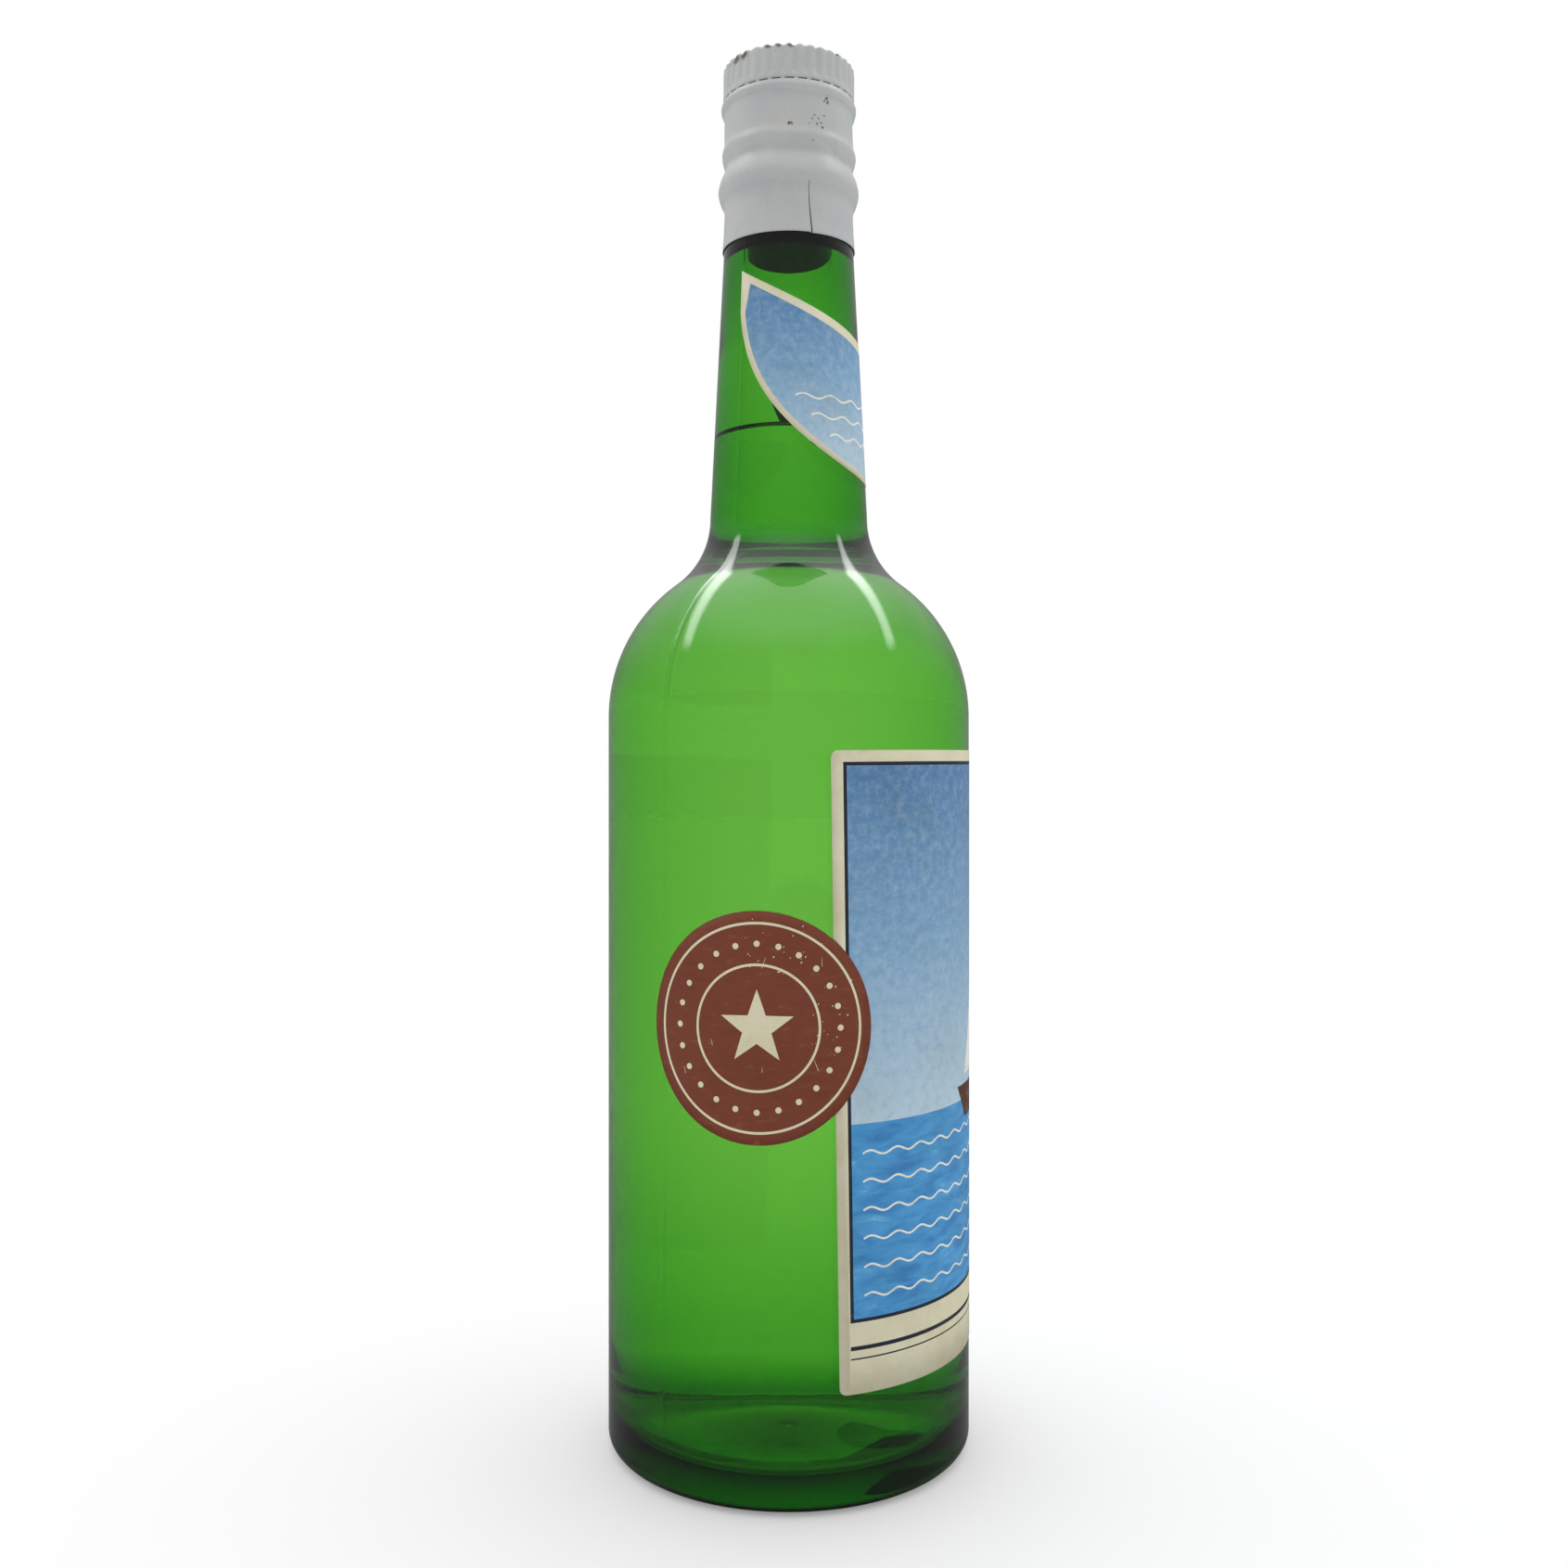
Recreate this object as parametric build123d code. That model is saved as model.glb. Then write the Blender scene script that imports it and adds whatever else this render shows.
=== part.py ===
from build123d import *

import math
import os

# A sealed and filled 0.7 litre spirits bottle with a two-part aluminium screw closure and three paper labels.
# Millimetres, +Z up, origin at the middle of the ring that the bottle stands on.
# The middle of the front label faces -Y.

# Bottle: outside
BODY_R = 38.75
HEEL_HEIGHT = 3.5
HEEL_INSET = 3.75
BEARING_RING_WIDTH = 1.5
PUNT_HEIGHT = 5.5
SHOULDER_START_Z = 155.0
SHOULDER_ARC_R = 35.0
NECK_START_Z = 198.0
NECK_START_R = 16.95

# Bottle: inside. The wall is thicker near the floor, and the neck narrows upward, faster past its middle.
WALL = 2.75
LOW_WALL_EXTRA = 1.2
LOW_WALL_TOP_Z = 75.0
FLARE_R = 8.0
NECK_HOLLOW_R = 13.1
NECK_MIDDLE_R = 11.6
NECK_MIDDLE_Z = 232.0
BORE_R = 9.4
BORE_START_Z = 256.0
FLOOR_EDGE_Z = 5.0
FLOOR_CORNER_R = 9.0
FLOOR_MIDDLE_Z = 9.5

# Where the sleeve grips the neck, from its lower edge up over the bead to the groove.
# Each point is the outer radius of the sleeve and its height.
GRIP_LINE = [(14.34, 255.5), (13.8, 262.0), (15.15, 268.2), (13.6, 272.6)]
SHEET = 0.22
GRIP_GAP = 0.12
NECK_END_R = GRIP_LINE[0][0] - SHEET - GRIP_GAP
NECK_END_Z = GRIP_LINE[0][1]

# Bottle: finish, which is the threaded part of the neck
LEDGE_Z = 274.8
LEDGE_SLOPE = 0.8
THREAD_ROOT_R = 11.3
LIP_Z = 292.5
LIP_ROUND = 0.8

# Screw thread: right-handed, one start
PITCH = 3.0
GLASS_THREAD_START_Z = 281.0
GLASS_THREAD_TURNS = 1.75
GLASS_THREAD_CREST_R = 12.3
GLASS_THREAD_ROOT_HALF = 1.1
GLASS_THREAD_CREST_HALF = 0.55
CAP_THREAD_TURNS = 2.25
CAP_THREAD_CREST_R = 11.55
CAP_THREAD_ROOT_HALF = 0.7
CAP_THREAD_CREST_HALF = 0.35
THREAD_BITE = 0.15

# Closure: thin lacquered aluminium, a cap above a line of small bridges and a sleeve below it
SLEEVE_TOP_LINE = [(14.35, 275.6), (14.0, 280.0), (13.8, 284.0), (14.45, 286.6)]
SLEEVE_TOP_Z = 287.2
SLIT_WIDTH = 0.3
SLIT_TOP_Z = 266.0
SLIT_ANGLE = -157.0
SLEEVE_TOP_R = 14.13
CAP_LOW_Z = 287.5
CAP_TOP_Z = 294.8
CAP_R = 14.15
CAP_WALL = 0.55
CAP_TOP_THICKNESS = 0.3
CAP_EDGE_R = 0.9
FLUTES = 36
FLUTE_R = 1.6
FLUTE_DEPTH = 0.22
FLUTE_LOW_Z = 288.3
BRIDGES = 32
BRIDGE_WIDTH = 0.9
BRIDGE_THICKNESS = 0.25
BRIDGE_GAP = 0.03

# Closure: plastic thread insert and sealing disc
INSERT_LOW_Z = 276.2
INSERT_R = 13.35
INSERT_BORE_R = 12.5
INSERT_COLLAR_Z = 287.7
INSERT_COLLAR_R = 13.55
INSERT_TOP_Z = 292.3
LINER_R = 13.3
FACING_THICKNESS = 0.4
CORE_THICKNESS = 1.5

# Rum
FILL_Z = 216.0
WETTING_GAP = 0.05

# Paper labels
PAPER = 0.08
GLUE = 0.02
FRONT_WIDTH = 97.0
FRONT_HEIGHT = 124.2
FRONT_LOW_Z = 23.7
FRONT_TILT = 0.8
FRONT_CORNER_R = 1.5
SEAL_R = 22.5
SEAL_Z = 93.9
SEAL_ANGLE = -184.1
FRONT_ANGLE = -90.0
# Neck label, a boat shape: half an ellipse below, a hollow curve above, and a tip at each end.
# Distances across are measured round the neck from the label's middle.
BOAT_HALF_WIDTH = 33.0
BOAT_WIDEST_Z = 239.3
BOAT_LOW_Z = 204.8
BOAT_TIP_ACROSS = 32.0
BOAT_TIP_Z = 248.3
BOAT_HOLLOW_Z = 235.0
BOAT_HOLLOW_POWER = 1.6

OUTLINE_STEPS = 48


def spin(profile):
    """Full turn of a profile drawn with radius as X and height as Y."""
    return revolve(Plane.XZ * profile, Axis.Z)


def shape(*edges):
    return make_face(Curve() + list(edges))


def tangent_radius(start_r, start_z, near_centre, near_r):
    """Radius of an arc that leaves the vertical line at start_r and touches the circle round near_centre."""
    across = start_r - near_centre[0]
    rise = start_z - near_centre[1]
    return (across**2 + rise**2 - near_r**2) / (2 * (near_r - across))


def touch_point(near_centre, near_r, far_centre):
    across = far_centre[0] - near_centre[0]
    rise = far_centre[1] - near_centre[1]
    share = near_r / math.hypot(across, rise)
    return (near_centre[0] + across * share, near_centre[1] + rise * share)


def arc_through(start, end, centre, radius):
    """Short arc of the circle round centre, from start to end."""
    middle = ((start[0] + end[0]) / 2 - centre[0], (start[1] + end[1]) / 2 - centre[1])
    share = radius / math.hypot(*middle)
    return ThreePointArc(start, (centre[0] + middle[0] * share, centre[1] + middle[1] * share), end)


def shoulder_edges(arc_r, neck_r, neck_z):
    """Shoulder line up to the foot of the neck: a convex arc of arc_r, then a concave one that touches it."""
    centre = (BODY_R - SHOULDER_ARC_R, SHOULDER_START_Z)
    low = (centre[0] + arc_r, SHOULDER_START_Z)
    neck_arc_r = tangent_radius(neck_r, neck_z, centre, arc_r)
    neck_centre = (neck_r + neck_arc_r, neck_z)
    crossing = touch_point(centre, arc_r, neck_centre)
    return [
        arc_through(low, crossing, centre, arc_r),
        arc_through(crossing, (neck_r, neck_z), neck_centre, neck_arc_r),
    ]


def neck_hollow_z():
    """Height where the inner flare of radius FLARE_R meets the foot of the neck's hollow."""
    inner_arc_r = SHOULDER_ARC_R - WALL
    across = NECK_HOLLOW_R + FLARE_R - (BODY_R - SHOULDER_ARC_R)
    return SHOULDER_START_Z + math.sqrt((inner_arc_r + FLARE_R) ** 2 - across**2)


def grip_edge(inset):
    """The line along which the sleeve grips the neck, moved in from the outside of the sleeve by inset."""
    points = [(r - inset, z) for r, z in GRIP_LINE]
    return Spline(*points, tangents=[(-0.08, 1), (0, 1)])


def bottle_outer():
    foot_r = BODY_R - HEEL_INSET
    ring_r = foot_r - BEARING_RING_WIDTH
    punt_r = (ring_r**2 + PUNT_HEIGHT**2) / (2 * PUNT_HEIGHT)
    groove_r = GRIP_LINE[-1][0] - SHEET - GRIP_GAP
    groove_z = GRIP_LINE[-1][1]
    heel_share = math.sqrt(0.5)
    heel_middle = (foot_r + HEEL_INSET * heel_share, HEEL_HEIGHT * (1 - heel_share))
    return shape(
        Line((0, LIP_Z), (0, PUNT_HEIGHT)),
        arc_through((0, PUNT_HEIGHT), (ring_r, 0), (0, PUNT_HEIGHT - punt_r), punt_r),
        Line((ring_r, 0), (foot_r, 0)),
        ThreePointArc((foot_r, 0), heel_middle, (BODY_R, HEEL_HEIGHT)),
        Line((BODY_R, HEEL_HEIGHT), (BODY_R, SHOULDER_START_Z)),
        *shoulder_edges(SHOULDER_ARC_R, NECK_START_R, NECK_START_Z),
        Line((NECK_START_R, NECK_START_Z), (NECK_END_R, NECK_END_Z)),
        grip_edge(SHEET + GRIP_GAP),
        Line((groove_r, groove_z), (groove_r, LEDGE_Z)),
        Line((groove_r, LEDGE_Z), (THREAD_ROOT_R, LEDGE_Z + LEDGE_SLOPE)),
        Line((THREAD_ROOT_R, LEDGE_Z + LEDGE_SLOPE), (THREAD_ROOT_R, LIP_Z - LIP_ROUND)),
        RadiusArc((THREAD_ROOT_R, LIP_Z - LIP_ROUND), (THREAD_ROOT_R - LIP_ROUND, LIP_Z), -LIP_ROUND),
        Line((THREAD_ROOT_R - LIP_ROUND, LIP_Z), (0, LIP_Z)),
    )


def neck_hollow_points(gap, top_z):
    """Inside of the neck from its foot up to top_z: a slow taper, a faster one, then the straight bore."""
    foot_z = neck_hollow_z()
    points = [(NECK_HOLLOW_R - gap, foot_z)]
    if top_z > BORE_START_Z:
        middle = (NECK_MIDDLE_R - gap, NECK_MIDDLE_Z)
        return points + [middle, (BORE_R - gap, BORE_START_Z), (BORE_R - gap, top_z)]
    share = (top_z - foot_z) / (NECK_MIDDLE_Z - foot_z)
    return points + [(NECK_HOLLOW_R + (NECK_MIDDLE_R - NECK_HOLLOW_R) * share - gap, top_z)]


def hollow(gap, top_z):
    """The space inside the bottle up to top_z, drawn in from the glass by gap."""
    wall_r = BODY_R - WALL - gap
    low_r = wall_r - LOW_WALL_EXTRA
    corner_r = FLOOR_CORNER_R
    floor_z = FLOOR_EDGE_Z + gap
    neck = neck_hollow_points(gap, top_z)
    return shape(
        Line((0, top_z), (0, FLOOR_MIDDLE_Z + gap)),
        Spline((0, FLOOR_MIDDLE_Z + gap), (low_r - corner_r, floor_z), tangents=[(1, 0), (1, 0)]),
        RadiusArc((low_r - corner_r, floor_z), (low_r, floor_z + corner_r), -corner_r),
        Spline((low_r, floor_z + corner_r), (wall_r, LOW_WALL_TOP_Z), tangents=[(0, 1), (0, 1)]),
        Line((wall_r, LOW_WALL_TOP_Z), (wall_r, SHOULDER_START_Z)),
        *shoulder_edges(SHOULDER_ARC_R - WALL - gap, NECK_HOLLOW_R - gap, neck_hollow_z()),
        Polyline(*neck),
        Line(neck[-1], (0, top_z)),
    )


def thread_ridge(root_r, crest_r, root_half, crest_half, start_z, turns):
    """Helical ridge of a trapezoid section, from root_r to crest_r, outward or inward."""
    middle_r = (root_r + crest_r) / 2
    path = Helix(PITCH, PITCH * turns, middle_r, center=(0, 0, start_z))
    section = Polygon(
        (root_r - middle_r, -root_half),
        (crest_r - middle_r, -crest_half),
        (crest_r - middle_r, crest_half),
        (root_r - middle_r, root_half),
        align=None,
    )
    start = Plane(origin=path @ 0, x_dir=(1, 0, 0), z_dir=(0, -1, 0))
    return sweep(start * section, path=path, is_frenet=True)


def make_bottle_glass():
    body = spin(bottle_outer() - hollow(0, LIP_Z + 1))
    ridge = thread_ridge(THREAD_ROOT_R - THREAD_BITE, GLASS_THREAD_CREST_R, GLASS_THREAD_ROOT_HALF,
                         GLASS_THREAD_CREST_HALF, GLASS_THREAD_START_Z, GLASS_THREAD_TURNS)
    return body + ridge


def make_rum_fill():
    return spin(hollow(WETTING_GAP, FILL_Z))


def make_sleeve():
    upper = [GRIP_LINE[-1], *SLEEVE_TOP_LINE, (SLEEVE_TOP_R, SLEEVE_TOP_Z)]
    upper_inside = [(r - SHEET, z) for r, z in upper]
    start_tangent = (0, 1)
    end_tangent = (-1, 1)
    low_r, low_z = GRIP_LINE[0]
    wall = shape(
        grip_edge(0),
        Spline(*upper, tangents=[start_tangent, end_tangent]),
        Line(upper[-1], upper_inside[-1]),
        Spline(*upper_inside, tangents=[start_tangent, end_tangent]),
        grip_edge(SHEET),
        Line((low_r - SHEET, low_z), (low_r, low_z)),
    )
    slit_height = SLIT_TOP_Z - low_z
    slit = Pos(low_r, 0, low_z + slit_height / 2) * Box(6, SLIT_WIDTH, slit_height)
    return spin(wall) - Rot(0, 0, SLIT_ANGLE) * slit


def upright(radius, height, low_z):
    """Cylinder on the Z axis that stands on low_z."""
    return Pos(0, 0, low_z) * Cylinder(radius, height, align=(Align.CENTER, Align.CENTER, Align.MIN))


def make_cap_shell():
    outer = upright(CAP_R, CAP_TOP_Z - CAP_LOW_Z, CAP_LOW_Z)
    outer = fillet(outer.edges().group_by(Axis.Z)[-1], CAP_EDGE_R)
    flute = upright(FLUTE_R, CAP_TOP_Z - CAP_LOW_Z, FLUTE_LOW_Z)
    ring = PolarLocations(CAP_R + FLUTE_R - FLUTE_DEPTH, FLUTES)
    outer = outer - [place * flute for place in ring]
    return outer - upright(CAP_R - CAP_WALL, CAP_TOP_Z - CAP_TOP_THICKNESS - CAP_LOW_Z, CAP_LOW_Z)


def make_tear_bridges():
    low_z = SLEEVE_TOP_Z + BRIDGE_GAP
    height = CAP_LOW_Z - low_z
    bridge = Box(BRIDGE_THICKNESS, BRIDGE_WIDTH, height, align=(Align.MAX, Align.CENTER, Align.MIN))
    ring = PolarLocations(SLEEVE_TOP_R, BRIDGES)
    return Compound(children=[Pos(0, 0, low_z) * place * bridge for place in ring])


def make_cap_thread_insert():
    wall = shape(
        Polyline(
            (INSERT_BORE_R, INSERT_LOW_Z),
            (INSERT_R, INSERT_LOW_Z),
            (INSERT_R, INSERT_COLLAR_Z),
            (INSERT_COLLAR_R, INSERT_COLLAR_Z),
            (INSERT_COLLAR_R, INSERT_TOP_Z),
            (INSERT_BORE_R, INSERT_TOP_Z),
            close=True,
        )
    )
    ridge = thread_ridge(INSERT_BORE_R + THREAD_BITE, CAP_THREAD_CREST_R, CAP_THREAD_ROOT_HALF,
                         CAP_THREAD_CREST_HALF, GLASS_THREAD_START_Z + PITCH / 2, CAP_THREAD_TURNS)
    return spin(wall) + ridge


def band(inner_r, paper):
    """Thin cylinder of paper round the body of the bottle, from inner_r outward."""
    return upright(inner_r + paper, SHOULDER_START_Z, 0) - upright(inner_r, SHOULDER_START_Z, 0)


def stamp(outline_edges):
    """Prism of a flat outline, reaching outward along -Y from the axis."""
    return extrude(Plane.XZ * make_face(outline_edges), amount=BODY_R * 2)


def front_outline(margin):
    """Edge of the front label pushed out by margin, as seen looking along +Y."""
    half_width = FRONT_WIDTH / 2 + margin
    half_height = FRONT_HEIGHT / 2 + margin
    middle_z = FRONT_LOW_Z + FRONT_HEIGHT / 2
    tilt = math.radians(FRONT_TILT)

    def on_bottle(across, up):
        along = across * math.cos(tilt) - up * math.sin(tilt)
        height = middle_z + across * math.sin(tilt) + up * math.cos(tilt)
        return (BODY_R * math.sin(along / BODY_R), height)

    def side(start, end):
        steps = 8
        return Spline(*[
            on_bottle(start[0] + (end[0] - start[0]) * i / steps, start[1] + (end[1] - start[1]) * i / steps)
            for i in range(steps + 1)
        ])

    corner = FRONT_CORNER_R
    w = half_width
    h = half_height
    corners = [(-w + corner, h), (w - corner, h), (w, h - corner), (w, -h + corner),
               (w - corner, -h), (-w + corner, -h), (-w, -h + corner), (-w, h - corner)]
    edges = []
    for index in range(0, 8, 2):
        edges.append(side(corners[index], corners[index + 1]))
        edges.append(Line(on_bottle(*corners[index + 1]), on_bottle(*corners[(index + 2) % 8])))
    return Curve() + edges


def seal_outline():
    points = []
    for index in range(OUTLINE_STEPS):
        turn = 2 * math.pi * index / OUTLINE_STEPS
        points.append((BODY_R * math.sin(SEAL_R * math.cos(turn) / BODY_R), SEAL_Z + SEAL_R * math.sin(turn)))
    return Curve() + [Spline(*points, periodic=True)]


def make_front_label():
    return band(BODY_R + GLUE, PAPER) & stamp(front_outline(0))


def make_seal_label():
    """Round seal: flat on the glass, with a step where it climbs over the edge of the front label."""
    disc = Rot(0, 0, SEAL_ANGLE - FRONT_ANGLE) * stamp(seal_outline())
    step_width = 0.4
    snug = stamp(front_outline(GLUE))
    wide = stamp(front_outline(GLUE + step_width))
    on_glass = (band(BODY_R + GLUE, PAPER) & disc) - wide
    over_paper = band(BODY_R + GLUE + PAPER + GLUE, PAPER) & disc & wide
    step = (band(BODY_R + GLUE, GLUE + 2 * PAPER) & disc & wide) - snug
    return on_glass + over_paper + step


def neck_radius(z):
    share = (z - NECK_START_Z) / (NECK_END_Z - NECK_START_Z)
    return NECK_START_R + (NECK_END_R - NECK_START_R) * share


def boat_outline():
    """Neck label's edge as (distance across, height): round the ellipse, then back over the hollow."""
    depth = BOAT_WIDEST_Z - BOAT_LOW_Z
    rise = BOAT_TIP_Z - BOAT_HOLLOW_Z
    shares = [i / OUTLINE_STEPS for i in range(OUTLINE_STEPS + 1)]
    lower = [(-BOAT_HALF_WIDTH * math.cos(math.pi * share), BOAT_WIDEST_Z - depth * math.sin(math.pi * share))
             for share in shares]
    upper = [(BOAT_TIP_ACROSS * side, BOAT_HOLLOW_Z + rise * abs(side) ** BOAT_HOLLOW_POWER)
             for side in [1 - 2 * share for share in shares]]
    return lower + upper


def make_neck_label():
    """Label wrapped on the cone of the neck: three sectors, each cut out from its own side."""
    low_z = BOAT_LOW_Z - 2
    high_z = BOAT_TIP_Z + 2
    low_r = neck_radius(low_z) + GLUE
    high_r = neck_radius(high_z) + GLUE
    wall = spin(shape(Polyline((low_r, low_z), (low_r + PAPER, low_z), (high_r + PAPER, high_z),
                               (high_r, high_z), close=True)))
    sector = 84.0
    widest_seen = 75.0
    half = math.radians(sector / 2)
    reach = BODY_R * 2
    slice_of_cake = Polygon((0, 0), (-reach * math.sin(half), -reach * math.cos(half)),
                            (reach * math.sin(half), -reach * math.cos(half)), align=None)
    wedge = Pos(0, 0, low_z) * extrude(slice_of_cake, amount=high_z - low_z)
    pieces = []
    for turn in (-sector, 0.0, sector):
        seen = []
        for across, z in boat_outline():
            angle = math.degrees(across / neck_radius(z)) - turn
            if abs(angle) < widest_seen:
                seen.append((neck_radius(z) * math.sin(math.radians(angle)), z))
        window = stamp([Polyline(*seen, close=True)]) & wedge
        pieces.append(wall & (Rot(0, 0, turn) * window))
    return pieces[0] + pieces[1:]


MAKERS = {
    "bottle_glass": make_bottle_glass,
    "rum_fill": make_rum_fill,
    "cap_shell": make_cap_shell,
    "cap_thread_insert": make_cap_thread_insert,
    "liner_facing": lambda: upright(LINER_R, FACING_THICKNESS, LIP_Z),
    "liner_core": lambda: upright(LINER_R, CORE_THICKNESS, LIP_Z + FACING_THICKNESS),
    "sleeve": make_sleeve,
    "tear_bridges": make_tear_bridges,
    "front_label": make_front_label,
    "neck_label": make_neck_label,
    "seal_label": make_seal_label,
}

os.makedirs("parts", exist_ok=True)
for node, maker in MAKERS.items():
    export_step(maker(), f"parts/{node}.step")
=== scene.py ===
from collections import namedtuple
import math
import random

import bpy
import numpy as np
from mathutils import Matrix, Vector
from mathutils.geometry import delaunay_2d_cdt


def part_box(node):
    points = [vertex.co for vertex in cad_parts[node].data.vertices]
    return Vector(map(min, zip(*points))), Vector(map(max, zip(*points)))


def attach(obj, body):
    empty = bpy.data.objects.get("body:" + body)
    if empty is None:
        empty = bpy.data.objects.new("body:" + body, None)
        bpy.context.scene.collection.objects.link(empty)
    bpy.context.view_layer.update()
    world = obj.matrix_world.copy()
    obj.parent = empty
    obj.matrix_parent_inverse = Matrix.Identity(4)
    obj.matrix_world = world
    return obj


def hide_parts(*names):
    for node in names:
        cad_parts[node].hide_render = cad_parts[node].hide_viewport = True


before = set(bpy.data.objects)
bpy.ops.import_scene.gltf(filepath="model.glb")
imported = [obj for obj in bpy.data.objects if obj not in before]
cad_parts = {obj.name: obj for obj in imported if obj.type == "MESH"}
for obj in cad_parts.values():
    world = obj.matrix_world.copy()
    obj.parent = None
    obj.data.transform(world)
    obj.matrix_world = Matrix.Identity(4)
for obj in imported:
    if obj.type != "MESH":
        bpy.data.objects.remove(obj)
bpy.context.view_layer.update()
random.seed(7)

MM = 0.001


def node_box(node):
    """Lowest and highest corner of a CAD node, in millimetres."""
    return [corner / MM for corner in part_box(node)]


# Sizes from the frame
glass_high = node_box("bottle_glass")[1]
rum_high = node_box("rum_fill")[1]
cap_low, cap_high = node_box("cap_shell")
sleeve_low, sleeve_high = node_box("sleeve")
BODY_R = glass_high.x
LIP_Z = glass_high.z
FILL_Z = rum_high.z
CAP_LOW_Z = cap_low.z
CAP_TOP_Z = cap_high.z
CAP_R = cap_high.x
SLEEVE_LOW_Z = sleeve_low.z
SLEEVE_TOP_Z = sleeve_high.z

# Bottle: outside, as in the CAD model
HEEL_HEIGHT = 3.5
HEEL_INSET = 3.75
BEARING_RING_WIDTH = 1.5
PUNT_HEIGHT = 5.5
SHOULDER_START_Z = 155.0
SHOULDER_ARC_R = 35.0
NECK_START_Z = 198.0
NECK_START_R = 16.95
NECK_END_Z = 255.5
NECK_END_R = 14.0
THREAD_ROOT_R = 11.3
THREAD_CREST_R = 12.3
THREAD_START_Z = 281.0
THREAD_PITCH = 3.0
THREAD_TURNS = 1.75
LIP_ROUND = 0.8
SEAM_ANGLES = (145.4, -34.6)

# Bottle: inside
WALL = 2.75
LOW_WALL_EXTRA = 1.2
LOW_WALL_TOP_Z = 75.0
FLARE_R = 2.5
NECK_HOLLOW_R = 13.1
NECK_MIDDLE_R = 11.6
NECK_MIDDLE_Z = 232.0
BORE_R = 9.4
BORE_START_Z = 256.0
FLOOR_EDGE_Z = 5.0
FLOOR_CORNER_R = 9.0
FLOOR_MIDDLE_Z = 9.5
MENISCUS = 0.8

# Closure
GRIP_LINE = [(14.34, 255.5), (13.95, 260.0), (13.9, 264.2), (14.7, 266.3), (15.15, 268.2), (14.7, 270.2),
             (13.68, 272.6)]
SLEEVE_UPPER_LINE = [(14.1, 274.2), (14.46, 275.9), (14.0, 277.8), (13.9, 281.0), (13.9, 284.0),
                     (14.35, 285.0), (14.6, 286.1), (14.16, 287.2)]
SHEET = 0.22
CAP_WALL = 0.55
FLUTES = 36
SLIT_ANGLE = -157.0

# Labels
PAPER = 0.08
GLUE = 0.02
FRONT_WIDTH = 97.0
FRONT_HEIGHT = 124.2
FRONT_LOW_Z = 23.7
FRONT_TILT = 0.8
FRONT_ANGLE = -90.0
SEAL_R = 22.5
SEAL_Z = 93.9
SEAL_ANGLE = -184.1
BOAT_HALF_WIDTH = 33.0
BOAT_WIDEST_Z = 239.3
BOAT_LOW_Z = 204.8
BOAT_TIP_ACROSS = 32.0
BOAT_TIP_Z = 248.3
BOAT_HOLLOW_Z = 235.0
BOAT_HOLLOW_POWER = 1.6
NECK_PRINT_Z = 204.0
NECK_PRINT_ACROSS = 33.0
WAVE_LENGTH = 6.0
WAVE_RISE = 0.5
WAVE_WIDTH = 0.4


# ---------------------------------------------------------------- curves in two dimensions

def arc(centre, radius, start, end, steps):
    """Points on a circle round centre, from the start to the end angle in degrees."""
    points = []
    for i in range(steps + 1):
        angle = math.radians(start + (end - start) * i / steps)
        points.append((centre[0] + radius * math.cos(angle), centre[1] + radius * math.sin(angle)))
    return points


def line(start, end, steps=1):
    return [(start[0] + (end[0] - start[0]) * i / steps, start[1] + (end[1] - start[1]) * i / steps)
            for i in range(steps + 1)]


def joined(*runs):
    """One list of points from several runs, without the repeated ends."""
    points = list(runs[0])
    for run in runs[1:]:
        points += run[1:]
    return points


def curve_through(knots, steps=6):
    """Smooth Catmull-Rom curve through a few knots."""
    padded = [knots[0], *knots, knots[-1]]
    points = [knots[0]]
    for before, start, end, after in zip(padded, padded[1:], padded[2:], padded[3:]):
        for i in range(1, steps + 1):
            t = i / steps
            points.append(tuple(
                0.5 * (2 * b + (c - a) * t + (2 * a - 5 * b + 4 * c - d) * t**2
                        + (3 * b - a - 3 * c + d) * t**3)
                for a, b, c, d in zip(before, start, end, after)
            ))
    return points


def blob(knots, steps=6):
    """Smooth closed curve through a few knots."""
    ring = [knots[-1], *knots, knots[0], knots[1]]
    return curve_through(ring, steps)[steps:-steps - 1]


def stroke(points, start_width, end_width=None):
    """Outline of a brush stroke along points, as wide as given at its start and end."""
    if end_width is None:
        end_width = start_width
    left = []
    right = []
    for i, (x, y) in enumerate(points):
        before = points[max(i - 1, 0)]
        after = points[min(i + 1, len(points) - 1)]
        dx, dy = after[0] - before[0], after[1] - before[1]
        length = math.hypot(dx, dy)
        half = (start_width + (end_width - start_width) * i / (len(points) - 1)) / 2
        left.append((x - dy / length * half, y + dx / length * half))
        right.append((x + dy / length * half, y - dx / length * half))
    return left + right[::-1]


def disc(centre, radius, steps=32):
    return arc(centre, radius, 0, 360 - 360 / steps, steps - 1)


def star(centre, outer, inner, points):
    ring = []
    for i in range(2 * points):
        angle = math.pi * (0.5 + i / points)
        radius = inner if i % 2 else outer
        ring.append((centre[0] + radius * math.cos(angle), centre[1] + radius * math.sin(angle)))
    return ring


def inside(loops, points):
    """Which points lie inside the outlines, by the even-odd rule."""
    result = np.zeros(len(points), bool)
    for loop in loops:
        ring = np.array(loop)
        for (x0, y0), (x1, y1) in zip(ring, np.roll(ring, -1, axis=0)):
            if y0 == y1:
                continue
            crosses = (points[:, 1] < y0) != (points[:, 1] < y1)
            result ^= crosses & (points[:, 0] < x0 + (points[:, 1] - y0) * (x1 - x0) / (y1 - y0))
    return result


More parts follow.
